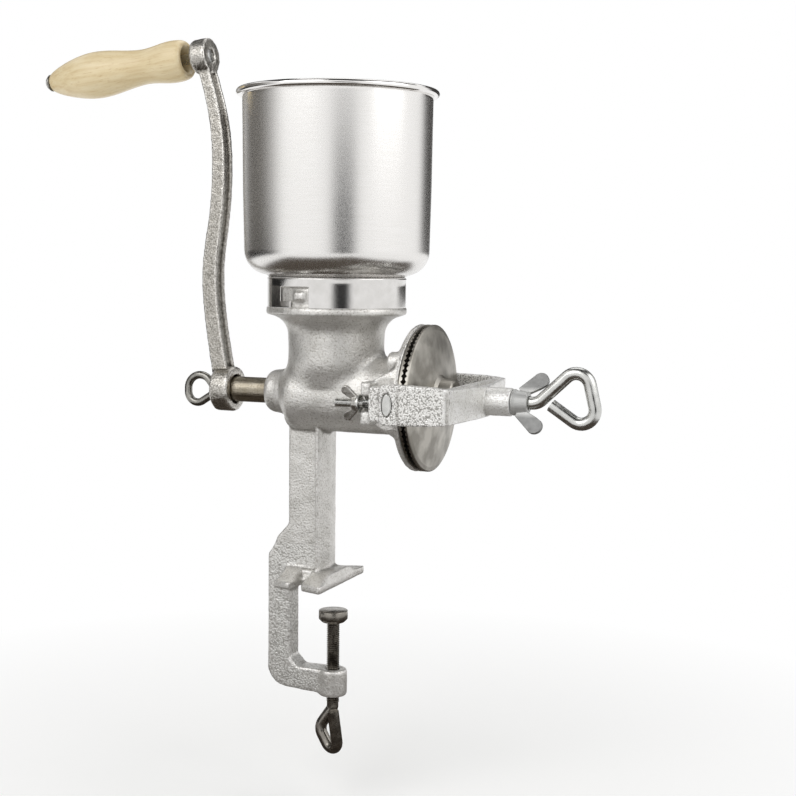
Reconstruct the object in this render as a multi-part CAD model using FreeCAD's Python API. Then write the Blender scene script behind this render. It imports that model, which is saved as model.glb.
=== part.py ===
import FreeCAD
import Part
import math
import os

from FreeCAD import Vector

# Hand crank peanut grinder that clamps to a table edge.
# Millimetres, +Z up, +X along the grinding shaft towards the adjusting screw.
# The origin is on the underside of the foot plate, below the middle of the hopper.

# Driving dimensions

shaft_height = 145.0        # grinding shaft above the table
hopper_radius = 70.0        # outside of the bowl
hopper_top = 223.5          # rim above the shaft
sheet = 0.8                 # stainless sheet of the hopper
collar_radius = 51.4        # outside of the hopper collar
collar_top = 87.0           # where the bowl meets its collar, above the shaft
neck_outer = 50.2           # bowl's neck inside the collar
throat_top = 64.8           # seat of the hopper above the shaft
lip_height = 5.0            # rim of the throat below that seat
spigot_top = 80.0           # top of the throat inside the collar
neck_radius = 36.0          # waist of the throat
barrel_radius = 28.5        # outside of the auger barrel
barrel_bore = 23.8
journal_radius = 9.6        # shaft between crank and barrel
fit = 0.1                   # radial clearance of a running fit
face_gap = 0.2              # clearance between a loose washer and its seat
washer_thick = 1.2
plate_radius = 53.6         # both grinding plates
tooth_count = 84            # radial teeth at the rim of each plate
plate_screw_places = ((-37, 28), (37, -28))   # screws of the fixed plate, in Y and Z
plate_screw_radius = 2.5
flange_back = 65.5          # grinding flange of the casting
flange_front = 70.1
flange_radius = 54.0
fixed_face = 73.0           # tooth tips of the fixed plate
turning_face = 75.0         # tooth tips of the turning plate
nose_end = 95.0             # end of the shaft behind the turning plate
yoke_inner = 55.3           # inside of the yoke arms, each way from the shaft
yoke_outer = 63.0
yoke_half_height = 14.5
yoke_bar = 107.0            # inner side of the yoke's cross bar
yoke_corner = 112.5         # outer corner where arm and cross bar meet
pad_outer = 65.2            # pad of the yoke round each bolt head
yoke_end = 138.0            # face of the yoke's screw boss
bolt_side = 59.4            # yoke bolts, each way from the shaft
bolt_radius = 3.0
bolt_head_x = 66.8          # T-head of each yoke bolt
bolt_head_size = (3.6, 8.0)   # half width and half height of its oval
lug_back = 45.7             # fork lugs of the casting
lug_front = 53.0
rod_radius = 4.65           # bent rod of the adjusting screw
thread_radius = 4.9         # M10 thread, major diameter
ball_radius = 4.0
pin_x = 86.5                # drive pin of the turning plate
pin_radius = 2.0
crank_x = -91.6             # middle of the crank hub along the shaft
crank_hub_radius = 17.3
crank_back = crank_x - 8.1  # outer face of the crank hub
crank_screw_radius = 2.8    # M6 eye screw of the crank
eye_rod_radius = 3.0        # rod of that screw's loop
tang_half = 5.75            # half side of the shaft's square tang
crank_line = ((0, -92.5), (22, -96.6), (58, -102.2), (95, -103.6), (130, -98.8),
              (165, -96.2), (200, -98.2), (228, -104.6), (250, -111.5))   # arm's middle, height and X
boss_face = (-105.3, 253.0)  # upper crank boss, face centre in X and height above the shaft
boss_length = 14.0
spindle_radius = 4.0
handle_tilt = 6.3           # degrees that the outer end of the handle hangs down
web_half = 8.5              # half thickness of the post's web
flange_half = 16.5          # half width of the post's flange
foot_near = 39.0            # reach of the foot plate each side of the web
foot_far = 47.0
foot_thick = 6.0
clamp_x = -1.0              # clamp screw axis
jaw_top = -210.0            # lower jaw of the clamp, from the shaft
jaw_bottom = -228.5
clamp_boss_radius = 11.0
clamp_boss_bottom = -231.0
table_thick = 20.0          # table that the clamp holds at rest


def at(x, y, z):
    """Point given from the shaft axis, moved to the table frame."""
    return Vector(x, y, z + shaft_height)


def box(x0, x1, y0, y1, z0, z1):
    return Part.makeBox(x1 - x0, y1 - y0, z1 - z0, at(x0, y0, z0))


def rod_x(x0, x1, radius, y=0.0, z=0.0):
    return Part.makeCylinder(radius, x1 - x0, at(x0, y, z), Vector(1, 0, 0))


def rod_y(y0, y1, radius, x=0.0, z=0.0):
    return Part.makeCylinder(radius, y1 - y0, at(x, y0, z), Vector(0, 1, 0))


def rod_z(z0, z1, radius, x=0.0, y=0.0):
    return Part.makeCylinder(radius, z1 - z0, at(x, y, z0), Vector(0, 0, 1))


def face_of(points):
    return Part.Face(Part.makePolygon(points + points[:1]))


def slab_y(outline, y0, y1):
    """Outline in X and Z, spread from y0 to y1."""
    face = face_of([at(x, y0, z) for x, z in outline])
    return face.extrude(Vector(0, y1 - y0, 0))


def slab_z(outline, z0, z1):
    """Outline in X and Y, spread from z0 to z1."""
    face = face_of([at(x, y, z0) for x, y in outline])
    return face.extrude(Vector(0, 0, z1 - z0))


def slab_x(outline, x0, x1):
    """Outline in Y and Z, spread from x0 to x1."""
    face = face_of([at(x0, y, z) for y, z in outline])
    return face.extrude(Vector(x1 - x0, 0, 0))


def turned_x(profile):
    """Outline of (x, radius) points turned about the shaft axis."""
    face = face_of([at(x, 0, r) for x, r in profile])
    return face.revolve(at(0, 0, 0), Vector(1, 0, 0), 360)


def turned_z(profile):
    """Outline of (radius, z) points turned about the hopper axis."""
    face = face_of([at(r, 0, z) for r, z in profile])
    return face.revolve(at(0, 0, 0), Vector(0, 0, 1), 360)


def join(solids):
    return solids[0].fuse(solids[1:]).removeSplitter()


def mirrored(solid):
    """The same solid on the far side of the shaft."""
    return solid.mirror(Vector(0, 0, 0), Vector(0, 1, 0))


def arc_points(centre, radius, start, end, steps):
    """Points of an arc in a plane, angles in degrees."""
    turn = [math.radians(start + (end - start) * i / steps) for i in range(steps + 1)]
    return [(centre[0] + radius * math.cos(a), centre[1] + radius * math.sin(a)) for a in turn]


def bent_rod(points, bends, radius):
    """Round rod along straight runs joined by tangent arcs, one bend radius per inner point."""
    pieces = []
    here = points[0]
    for i, bend in enumerate(bends):
        corner = points[i + 1]
        back = (here - corner).normalize()
        ahead = (points[i + 2] - corner).normalize()
        half = back.getAngle(ahead) / 2
        reach = bend / math.tan(half)
        start = corner + back * reach
        end = corner + ahead * reach
        centre = corner + (back + ahead).normalize() * (bend / math.sin(half))
        axis = (start - centre).cross(end - centre).normalize()
        run = start.sub(here)
        pieces.append(Part.makeCylinder(radius, run.Length, here, run))
        circle = Part.Face(Part.Wire(Part.makeCircle(radius, start, back)))
        arc = circle.revolve(centre, axis, math.degrees(math.pi - 2 * half))
        pieces.append(arc)
        here = end
    run = points[-1].sub(here)
    pieces.append(Part.makeCylinder(radius, run.Length, here, run))
    return join(pieces)


def write(name, shape):
    """Write one node, and print what it is made of."""
    solids = shape.Solids
    shape = solids[0] if len(solids) == 1 else Part.makeCompound(solids)
    shape.exportStep("parts/" + name + ".step")
    limits = shape.optimalBoundingBox()
    low = [round(v, 1) for v in (limits.XMin, limits.YMin, limits.ZMin)]
    high = [round(v, 1) for v in (limits.XMax, limits.YMax, limits.ZMax)]
    print(name, len(solids), shape.isValid(), round(shape.Volume / 1000, 2), low, high)


# Body casting: throat, barrel, grinding flange, fork lugs, post, foot and clamp in one piece

def throat():
    """Neck with its flared seat and the spigot that the hopper collar drops over."""
    flare = arc_points((neck_radius + 15.5, 43.5), 15.5, 180, 113, 8)
    outside = [(0, 6), (29.0, 6), (neck_radius, 22)] + flare
    outside += [(52.3, throat_top - lip_height), (52.3, throat_top)]
    outside += [(49.9, throat_top), (49.9, spigot_top), (0, spigot_top)]
    return turned_z(outside)


def throat_bore():
    """Funnel from the hopper down into the barrel."""
    funnel = [(20, 0), (24, 26), (30, 44), (33, 50), (38, 55.5), (44, 60.5), (46.4, 64)]
    return turned_z([(0, 0)] + funnel + [(46.6, spigot_top + 1), (0, spigot_top + 1)])


def barrel():
    """Rear boss, shoulder, barrel and grinding flange, all round the shaft."""
    boss = [(-54.4, 0), (-54.4, 13), (-52.5, 15.4), (-49.5, 16.4), (-43.2, 17), (-42.6, 17.6), (-38.5, 18.2)]
    shoulder = [(-35.5, 23.2), (-30.5, 27.2), (-25, barrel_radius), (flange_back, barrel_radius)]
    rim = flange_radius - 1.2
    flange = [(flange_back, rim), (flange_back + 1.2, flange_radius), (flange_front, flange_radius)]
    return turned_x(boss + shoulder + flange + [(flange_front, 0)])


def fork_lug():
    """Forked lug on the near side that takes a yoke bolt, with its gusset to the flange."""
    lug = box(lug_back, lug_front, -62, -45, -15.5, 15.5)
    lug = lug.makeFillet(2.0, [e for e in lug.Edges if abs(e.tangentAt(e.FirstParameter).x) > 0.9])
    side = [(lug_front - 3, -15.5), (flange_back + 1, -25), (flange_back + 1, 25), (lug_front - 3, 15.5)]
    gusset = slab_y(side, -50.6, -42).common(rod_x(lug_back, flange_back + 1, flange_radius))
    slot = box(lug_back - 1, lug_front + 1, -63, -bolt_side + 0.01, -4.8, 4.8)
    return lug, gusset, slot.fuse(rod_x(lug_back - 1, lug_front + 1, 4.8, -bolt_side + 1.2, 0))


def post_and_clamp():
    """Web, flange and C frame of the post."""
    back = [(-31, -20), (-31, -100), (-52.5, -124), (-52.5, -205)] + arc_points((-36, -210), 17, 190, 262, 5)
    jaw = [(-14, jaw_bottom), (4, jaw_bottom), (4, jaw_top), (-27, jaw_top), (-33.5, -203.5)]
    front = [(-33.5, -151), (-27.5, -shaft_height), (-8, -shaft_height), (-8, -20)]
    web = slab_y(back + jaw + front, -web_half, web_half)
    ridge = [(-6.6, -flange_half), (-4, 0), (-6.6, flange_half)]
    flange = slab_z([(-10, -flange_half)] + ridge + [(-10, flange_half)], -shaft_height, -16)
    boss = rod_z(clamp_boss_bottom, jaw_top, clamp_boss_radius, clamp_x, 0)
    boss = boss.makeFillet(2.0, [e for e in boss.Edges if e.BoundBox.ZLength < 0.01])
    return [web, flange, boss]


def foot():
    """Foot plate with a notch each side, thicker under the post."""
    top = -shaft_height + foot_thick
    pad_top = -133.5
    wing_top = -132.5
    near = [(-37.5, -29.5), (-21.6, -35), (-21.6, -14), (-13.4, -14), (-13.4, -33), (5, -foot_near)]
    spread = foot_far / foot_near
    far = [(x, -y * spread) for x, y in reversed(near)]
    plate = slab_z(near + far, -shaft_height, top)
    plate = plate.makeFillet(1.6, [e for e in plate.Edges if e.BoundBox.ZLength > foot_thick - 1])
    pad = slab_x([(-34, top), (-17, pad_top), (17, pad_top), (34, top)], -12, 4.2)
    wing = slab_x([(-28, top), (-9, wing_top), (9, wing_top), (28, top)], -36, -23)
    bridge = box(-30, 0, -12, 12, -shaft_height + 2, pad_top)
    return [plate, pad, wing, bridge]


def body_casting():
    lug, gusset, slot = fork_lug()
    near_place, far_place = plate_screw_places
    screw_boss = rod_x(57.5, flange_back + 1, 7.6, *near_place)
    screw_boss = screw_boss.makeFillet(2.5, [e for e in screw_boss.Edges if e.BoundBox.XMax < 58])
    far_boss = rod_x(57.5, flange_back + 1, 7.6, *far_place)
    lock_lug = box(-4.5, 4.5, -52.6, -48, throat_top + 5.8, throat_top + 11.6)
    lock_lug.rotate(at(0, 0, 0), Vector(0, 0, 1), -8)
    pieces = [barrel(), throat(), lug, gusset, mirrored(lug), mirrored(gusset)]
    pieces += [screw_boss, far_boss, lock_lug] + post_and_clamp() + foot()
    shape = join(pieces)
    journal = rod_x(-60, -27, journal_radius + fit)
    screw_way = rod_z(-240, jaw_top + 1, thread_radius + fit, clamp_x, 0)
    bore = rod_x(-28, flange_front + 1, barrel_bore)
    hollows = [throat_bore(), bore, journal, screw_way, slot, mirrored(slot)]
    for y, z in plate_screw_places:
        hollows.append(rod_x(59.5, flange_front + 1, plate_screw_radius, y, z))
    for hollow in hollows:
        shape = shape.cut(hollow)
    return shape.removeSplitter()


# Grinding plates

def teeth(face, deeper):
    """Radial V grooves at the rim of a grinding plate, cut towards deeper along X."""
    depth = 1.3
    half = 1.55
    inner = 43.0
    start = face - deeper * 0.01
    grooves = []
    for i in range(tooth_count):
        groove = [at(start, -half, inner), at(start, half, inner), at(face + deeper * depth, 0, inner)]
        groove = face_of(groove)
        groove = groove.extrude(Vector(0, 0, plate_radius + 1 - inner))
        groove.rotate(at(0, 0, 0), Vector(1, 0, 0), 360.0 * i / tooth_count)
        grooves.append(groove)
    return Part.makeCompound(grooves)


def fixed_grinding_plate():
    """Plate on the flange, stepped at the rim, with countersinks for its screws."""
    hole = barrel_bore + 0.2
    recess = fixed_face - 1.2
    step = [(flange_front, hole), (flange_front, 52.2), (71.4, 52.2), (71.4, plate_radius)]
    shape = turned_x(step + [(fixed_face, plate_radius), (fixed_face, 41), (recess, 38), (recess, hole)])
    shape = shape.cut(teeth(fixed_face, -1))
    for y, z in plate_screw_places:
        shape = shape.cut(rod_x(flange_front - 1, fixed_face + 1, plate_screw_radius, y, z))
        sink = Part.makeCone(plate_screw_radius, 4.6, 2.1, at(fixed_face - 2.1, y, z), Vector(1, 0, 0))
        shape = shape.cut(sink)
    return shape


def plate_screws():
    """Two countersunk screws that hold the fixed plate."""
    screws = []
    for y, z in plate_screw_places:
        shank = rod_x(60, fixed_face - 2.1, plate_screw_radius, y, z)
        head = Part.makeCone(plate_screw_radius, 4.1, 1.6, at(fixed_face - 2.1, y, z), Vector(1, 0, 0))
        slot = box(fixed_face - 1.1, fixed_face, y - 5, y + 5, z - 0.5, z + 0.5)
        screws.append(shank.fuse(head).removeSplitter().cut(slot))
    return Part.makeCompound(screws)


def rotating_grinding_plate():
    """Coned plate with a hub that sits on the shaft's nose."""
    recess = turning_face + 1.0
    working = [(recess, 8), (recess, 40), (turning_face, 42), (turning_face, plate_radius)]
    cone = [(77.0, plate_radius), (77.5, plate_radius - 0.8), (78.3, 50), (83.2, 17.5), (85, 14.6)]
    shape = turned_x(working + cone + [(nose_end - 1, 14.2), (nose_end, 13), (nose_end, 8)])
    shape = shape.cut(teeth(turning_face, 1))
    return shape.cut(rod_z(-20, 20, pin_radius, pin_x, 0))


def drive_pin():
    return rod_z(-14, 14, pin_radius, pin_x, 0)


# Shaft with its auger

def auger_shaft():
    """Journal, auger flight and nose, with a square tang for the crank."""
    core = rod_x(-88.2, 50, journal_radius)
    nose = Part.makeCone(journal_radius, 8, 16, at(50, 0, 0), Vector(1, 0, 0)).fuse(rod_x(66, nose_end, 8))
    tang = box(-98.7, -88, -tang_half, tang_half, -tang_half, tang_half)
    pitch = 28.0
    turns = 2.5
    tip = barrel_bore - 1
    helix = Part.makeHelix(pitch, pitch * turns, 16.0)
    section = [(6.5, -2.2), (tip, -1.4), (tip, 1.4), (6.5, 2.2)]
    outline = Part.makePolygon([Vector(r, 0, z) for r, z in section + section[:1]])
    flight = Part.Wire(helix.Edges).makePipeShell([outline], True, True)
    flight.rotate(Vector(0, 0, 0), Vector(0, 1, 0), 90)
    flight.translate(at(-24.5, 0, 0))
    shape = core.fuse(flight).fuse([tang, nose]).removeSplitter()
    shape = shape.cut(rod_z(-20, 20, pin_radius, pin_x, 0))
    shape = shape.cut(rod_x(nose_end - 4.8, nose_end + 1, ball_radius + fit))
    return shape.cut(rod_x(-99, -80, crank_screw_radius + fit))


def thrust_ball():
    return Part.makeSphere(ball_radius, at(nose_end - 0.5, 0, 0))


# Yoke, its bolts, washers and wing nuts

def yoke_plan(inset):
    """Plan of the yoke's cross bar, drawn in by inset."""
    inside = (yoke_bar + inset, -yoke_inner - 4 + inset)
    corner = (yoke_corner - inset * 0.5, -yoke_outer + inset)
    near = [inside, corner, (119 - inset, -11)]
    return near + [(x, -y) for x, y in reversed(near)]


def bolt_oval(grow, y0, y1):
    """Oval prism along Y at the place of a yoke bolt's head."""
    half_width, half_height = bolt_head_size
    ellipse = Part.Ellipse(at(bolt_head_x, y0, 0), half_height + grow, half_width + grow)
    ellipse.rotate(FreeCAD.Placement(at(bolt_head_x, y0, 0), FreeCAD.Rotation(Vector(1, 0, 0), 90)))
    face = Part.Face(Part.Wire(ellipse.toShape()))
    face.rotate(at(bolt_head_x, y0, 0), Vector(0, 1, 0), 90)
    return face.extrude(Vector(0, y1 - y0, 0))


def yoke():
    """Two arms with a pad round each bolt head, and a recessed cross bar with the screw's boss."""
    low = -yoke_half_height
    arm = box(62, yoke_bar + 2, -yoke_outer, -yoke_inner, low, -low)
    arm = arm.makeFillet(1.5, [e for e in arm.Edges if e.BoundBox.XLength > 20])
    pad = box(62, 74, -pad_outer, -yoke_inner, low, -low)
    pad = pad.makeFillet(3.0, [e for e in pad.Edges if e.BoundBox.YLength > 5 and e.BoundBox.XMax < 63])
    block = box(lug_front, 64, -64.0, -51, -12.6, 12.6)
    block = block.makeFillet(2.0, [e for e in block.Edges if e.BoundBox.XLength > 9])
    bar = slab_z(yoke_plan(0), low, -low)
    pocket = slab_z(yoke_plan(3.2), 8.5, 20)
    web_pocket = slab_z(yoke_plan(3.2), -20, -8.5)
    side = [arm, pad, block]
    shape = join([bar.cut(pocket).cut(web_pocket)] + side + [mirrored(piece) for piece in side])
    taper = [(66, low - 1), (140, low - 1), (140, -10.3), (121, -11.2), (111, -12.3), (98, -13.6), (72, low)]
    taper = slab_y(taper, -70, 70)
    shape = shape.cut(taper).cut(taper.mirror(at(0, 0, 0), Vector(0, 0, 1)))
    boss = rod_x(yoke_bar + 3, yoke_end, 10.3)
    boss = boss.makeFillet(0.8, [e for e in boss.Edges if e.BoundBox.XMin > yoke_end - 0.1])
    shape = join([shape, boss])
    hole = rod_x(lug_front - 1, 65, bolt_radius, -bolt_side, 0)
    for cutter in (bolt_oval(0.25, -pad_outer - 1, -56.2), hole):
        shape = shape.cut(cutter)
        shape = shape.cut(mirrored(cutter))
    return shape.cut(rod_x(100, yoke_end + 1, thread_radius + fit))


def yoke_bolt():
    """Bolt with an oval head that lies in the yoke's pocket."""
    shank = rod_x(26.7, 66, bolt_radius, -bolt_side, 0)
    head = bolt_oval(0, -pad_outer + 0.1, -56.2)
    head = head.makeFillet(1.0, [e for e in head.Edges if e.BoundBox.YMax < -pad_outer + 0.2])
    return join([shank, head])


def washer():
    disc = rod_x(lug_back - face_gap - washer_thick, lug_back - face_gap, 6.6, -bolt_side, 0)
    return disc.cut(rod_x(40, 50, bolt_radius + 0.3, -bolt_side, 0))


def wing_ear(root, root_half, tip, tip_radius, thick):
    """Flat ear from the hub to a round tip, in the plane above the shaft axis."""
    disc = rod_y(-thick / 2, thick / 2, tip_radius, tip[0], tip[1])
    run = math.atan2(tip[1] - root[1], tip[0] - root[0])
    side = (-math.sin(run), math.cos(run))
    offsets = [(root, root_half), (tip, tip_radius), (tip, -tip_radius), (root, -root_half)]
    outline = [(x + side[0] * d, z + side[1] * d) for (x, z), d in offsets]
    return disc.fuse(slab_y(outline, -thick / 2, thick / 2))


def wing_nut():
    """M6 wing nut on a yoke bolt, its ears leaning away from the lug."""
    right = lug_back - 2 * face_gap - washer_thick
    hub = turned_x([(right - 4.6, 0), (right - 4.6, 4.2), (right - 0.8, 5.2), (right, 5.2), (right, 0)])
    ear = wing_ear((right - 1.6, 3.4), 2.0, (right - 9.0, 9.6), 3.2, 2.6)
    other = ear.mirror(at(0, 0, 0), Vector(0, 0, 1))
    nut = join([hub, ear, other])
    nut.rotate(at(0, 0, 0), Vector(1, 0, 0), 14)
    nut.translate(Vector(0, -bolt_side, 0))
    return nut.cut(rod_x(20, 60, bolt_radius + fit, -bolt_side, 0))


def adjusting_wing_nut():
    """Lock nut on the adjusting screw."""
    left = yoke_end + 0.3
    right = left + 11.7
    hub = turned_x([(left, 0), (left, 9.2), (left + 1.2, 9.6), (left + 3, 8.8), (right, 7.4), (right, 0)])
    ear = wing_ear((left + 5.0, 7.6), 3.6, (156.5, 17.2), 5.9, 3.2)
    ear = ear.cut(turned_x([(140, 0), (140, 5.4), (149.5, 5.6), (162, 14.4), (170, 20.4), (170, 0)]))
    other = ear.mirror(at(0, 0, 0), Vector(0, 0, 1))
    nut = join([hub, ear, other])
    nut.rotate(at(0, 0, 0), Vector(1, 0, 0), -27)
    return nut.cut(rod_x(130, 160, thread_radius + fit))


def adjusting_screw():
    """Eye screw: a threaded shank and a hook bent from the same rod."""
    tip = nose_end + 3.8
    start = [(tip, 0), (tip, 3.4), (tip + 1.4, thread_radius), (150.5, thread_radius)]
    thread = turned_x(start + [(151, rod_radius), (151, 0)])
    corners = [(149, 0), (156.5, 0), (190, 31.4), (203.6, -25.4), (166.2, -0.8)]
    hook = bent_rod([at(x, 0, z) for x, z in corners], [10, 10, 10], rod_radius)
    return join([thread, hook])


# Crank, its screw and the wooden handle

def arm_edge(side, widths):
    """One edge of the crank arm seen along Y."""
    points = [at(x + side * w, 0, z) for (z, x), w in zip(crank_line, widths)]
    curve = Part.BSplineCurve()
    curve.interpolate(points)
    return curve.toShape(), points


def arm_slab(widths, y0, y1):
    left, left_points = arm_edge(-1, widths)
    right, right_points = arm_edge(1, widths)
    top = Part.makeLine(left_points[-1], right_points[-1])
    bottom = Part.makeLine(right_points[0], left_points[0])
    face = Part.Face(Part.Wire([left, top, right, bottom]))
    face.translate(Vector(0, y0, 0))
    return face.extrude(Vector(0, y1 - y0, 0))


def handle_direction():
    tilt = math.radians(handle_tilt)
    return Vector(-math.cos(tilt), 0, -math.sin(tilt))


def along_handle(distance):
    return at(boss_face[0], 0, boss_face[1]) + handle_direction() * distance


def handle_rod(start, end, radius):
    return Part.makeCylinder(radius, end - start, along_handle(start), handle_direction())


def crank_arm():
    """Cast arm with an H section, a hub for the shaft and a boss for the handle spindle."""
    half_width = [6.8, 6.6, 6.3, 6.2, 5.8, 5.5, 5.2, 4.8, 4.8]
    half_depth = 7.2
    core = arm_slab([w - 2.2 for w in half_width], -half_depth, half_depth)
    near = arm_slab(half_width, -half_depth, -4.0)
    far = arm_slab(half_width, 4.0, half_depth)
    hub = rod_x(crank_back, crank_x + 8.1, crank_hub_radius)
    hub = hub.makeFillet(2.4, [e for e in hub.Edges if e.BoundBox.XLength < 0.1])
    boss = handle_rod(0, boss_length, 13.3)
    boss = boss.makeFillet(3.0, [e for e in boss.Edges if e.CenterOfMass.x < boss_face[0] - boss_length + 1])
    shape = join([hub, core, near, far, boss])
    hollows = [handle_rod(-1, 2.2, 5.2), handle_rod(-1, boss_length + 1, spindle_radius)]
    hollows += [rod_x(-88.2, -80, journal_radius + 1.3), rod_x(-112, crank_back, 9.6)]
    hollows.append(box(-101, -87, -tang_half, tang_half, -tang_half, tang_half))
    for hollow in hollows:
        shape = shape.cut(hollow)
    return shape


def crank_washer():
    left = crank_back - face_gap - washer_thick
    return rod_x(left, left + washer_thick, 8.4).cut(rod_x(left - 1, left + 3, crank_screw_radius + 0.3))


def crank_eye_screw():
    """Eye screw that holds the crank on the shaft."""
    shank = rod_x(-101, -82.5, crank_screw_radius)
    corners = [(-101, 0), (-103, 0), (-126, 30), (-126, -18.5), (-106.3, -6)]
    loop = bent_rod([at(x, 0, z) for x, z in corners], [3.7, 10.5, 8], eye_rod_radius)
    return join([shank, loop])


def handle_spindle():
    """Steel pin riveted in the crank boss, with a collar and a riveted outer end."""
    pin = [handle_rod(1.2, 2.2, 5.0), handle_rod(0.8, 146.5, spindle_radius)]
    return join(pin + [handle_rod(boss_length, 16.5, 6.2), handle_rod(145.6, 147.6, 5.0)])


def handle_end_washer():
    return handle_rod(144.1, 145.6, 6.6).cut(handle_rod(140, 150, spindle_radius))


def wooden_handle():
    """Turned grip that spins on the spindle."""
    stations = [(22.6, 14.9), (33, 15.9), (55, 13.2), (76, 15.0)]
    stations += [(98, 18.0), (120, 15.6), (135, 11.0), (142.6, 7.4)]
    tilt = math.radians(handle_tilt)
    outward = Vector(-math.sin(tilt), 0, math.cos(tilt))
    sides = [along_handle(s) + outward * r for s, r in stations]
    curve = Part.BSplineCurve()
    curve.interpolate(sides)
    foot_end = along_handle(20.9)
    outer_end = along_handle(143.8)
    ends = [sides[-1], outer_end + outward * 5.6, outer_end, foot_end, foot_end + outward * 12.6, sides[0]]
    edges = [curve.toShape()] + [Part.makeLine(a, b) for a, b in zip(ends, ends[1:])]
    shape = Part.Face(Part.Wire(edges)).revolve(along_handle(0), handle_direction(), 360)
    if shape.Volume < 0:
        shape.reverse()
    return shape.cut(handle_rod(10, 150, spindle_radius + fit))


# Table clamp

def clamp_screw():
    """Threaded rod with its lower end bent into an eye that turns back past itself."""
    top = -shaft_height - table_thick - 3.0
    thread = rod_z(-236, top, thread_radius, clamp_x, 0)
    corners = [(0, 0, -236), (0, 0, -241), (-10.8, -1.5, -257), (9.6, -6, -287), (4.6, -9.7, -240.6)]
    loop = bent_rod([at(clamp_x + x, y, z) for x, y, z in corners], [6, 9, 6.2], 4.4)
    return join([thread, loop])


def clamp_pad():
    """Swivel cup on the tip of the clamp screw."""
    top = -shaft_height - table_thick
    height = 9.0
    cup = rod_z(top - height, top, 11, clamp_x, 0)
    cup = cup.makeChamfer(2.5, [e for e in cup.Edges if e.BoundBox.ZMax < top + shaft_height - height + 0.1])
    return cup.cut(rod_z(top - height - 1, top - 2.7, thread_radius + fit, clamp_x, 0))


# Hopper

def hopper_bowl():
    """Spun stainless bowl with a rolled rim, open at the bottom into the collar."""
    low = collar_top
    mouth = hopper_radius - 0.6
    corner = arc_points((50.4, low + 19.5), 18.1, 0, -82, 10)
    outside = [(hopper_radius, hopper_top - 5), (mouth, 150)] + corner
    outside += [(neck_outer, low), (neck_outer, low - 4)]
    inside = [(neck_outer - sheet, low - 4), (neck_outer - sheet, low + sheet)]
    inside += [(r - sheet, z + sheet * 0.4) for r, z in reversed(corner)]
    inside += [(mouth - sheet, 150), (hopper_radius - sheet, hopper_top - 5)]
    wall = turned_z(outside + inside)
    rim = Part.makeTorus(hopper_radius + 2.1, 2.5, at(0, 0, hopper_top - 2.6), Vector(0, 0, 1))
    under = [(hopper_radius - sheet, hopper_top - 5.2), (hopper_radius, hopper_top - 5.2)]
    over = [(hopper_radius + 0.6, hopper_top - 1), (hopper_radius - 0.2, hopper_top - 1)]
    return join([wall, turned_z(under + over), rim])


def hopper_collar():
    """Polished collar with the bayonet slot that hooks under the throat's lug."""
    low = throat_top + fit
    high = collar_top
    inner = collar_radius - sheet
    wall = [(inner, low), (collar_radius, low), (collar_radius, high)]
    ring = turned_z(wall + [(neck_outer, high), (neck_outer, high - sheet), (inner, high - sheet)])
    slot_top = high - 6.8
    entry = slot_window(-16.5, 1.0, low - 1, slot_top)
    leg = slot_window(-28.0, -15.0, low + 4.9, slot_top)
    tab = box(collar_radius - 0.6, collar_radius + 2.6, -2, 2, high - 4, high)
    return ring.cut(entry).cut(leg).fuse(tab).removeSplitter()


def slot_window(start, end, low, high):
    """Window between two angles from the front of the collar, towards +X."""
    reach = 60.0
    angles = [math.radians(start), math.radians((start + end) / 2), math.radians(end)]
    outline = [(0, 0)] + [(reach * math.sin(a), -reach * math.cos(a)) for a in angles]
    return slab_z(outline, low, high)


os.makedirs("parts", exist_ok=True)

write("body_casting", body_casting())
write("fixed_grinding_plate", fixed_grinding_plate())
write("plate_screws", plate_screws())
write("rotating_grinding_plate", rotating_grinding_plate())
write("drive_pin", drive_pin())
write("auger_shaft", auger_shaft())
write("thrust_ball", thrust_ball())
write("yoke", yoke())
write("near_yoke_bolt", yoke_bolt())
write("far_yoke_bolt", mirrored(yoke_bolt()))
write("near_washer", washer())
write("far_washer", mirrored(washer()))
write("near_wing_nut", wing_nut())
write("far_wing_nut", mirrored(wing_nut()))
write("adjusting_screw", adjusting_screw())
write("adjusting_wing_nut", adjusting_wing_nut())
write("crank_arm", crank_arm())
write("crank_washer", crank_washer())
write("crank_eye_screw", crank_eye_screw())
write("handle_spindle", handle_spindle())
write("handle_end_washer", handle_end_washer())
write("wooden_handle", wooden_handle())
write("clamp_screw", clamp_screw())
write("clamp_pad", clamp_pad())
write("hopper_bowl", hopper_bowl())
write("hopper_collar", hopper_collar())
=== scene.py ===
import math

import bpy
from mathutils import Matrix, Vector


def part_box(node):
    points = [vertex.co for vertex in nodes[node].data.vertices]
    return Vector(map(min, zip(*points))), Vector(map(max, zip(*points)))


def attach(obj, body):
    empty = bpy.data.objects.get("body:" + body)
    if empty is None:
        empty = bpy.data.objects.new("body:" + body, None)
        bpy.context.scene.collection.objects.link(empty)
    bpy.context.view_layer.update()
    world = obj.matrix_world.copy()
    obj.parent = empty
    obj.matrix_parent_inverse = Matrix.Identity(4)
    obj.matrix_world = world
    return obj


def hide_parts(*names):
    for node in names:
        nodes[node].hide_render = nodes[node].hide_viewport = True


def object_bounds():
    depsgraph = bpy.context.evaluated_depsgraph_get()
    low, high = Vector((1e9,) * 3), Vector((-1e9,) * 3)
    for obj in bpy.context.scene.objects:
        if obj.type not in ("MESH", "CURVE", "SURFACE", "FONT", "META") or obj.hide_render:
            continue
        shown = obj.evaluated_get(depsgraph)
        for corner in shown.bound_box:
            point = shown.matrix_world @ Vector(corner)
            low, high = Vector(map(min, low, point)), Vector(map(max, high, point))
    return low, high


# Hand crank grinder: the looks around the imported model.
# Metres, +Z up, +X along the grinding shaft towards the adjusting screw.

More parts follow.
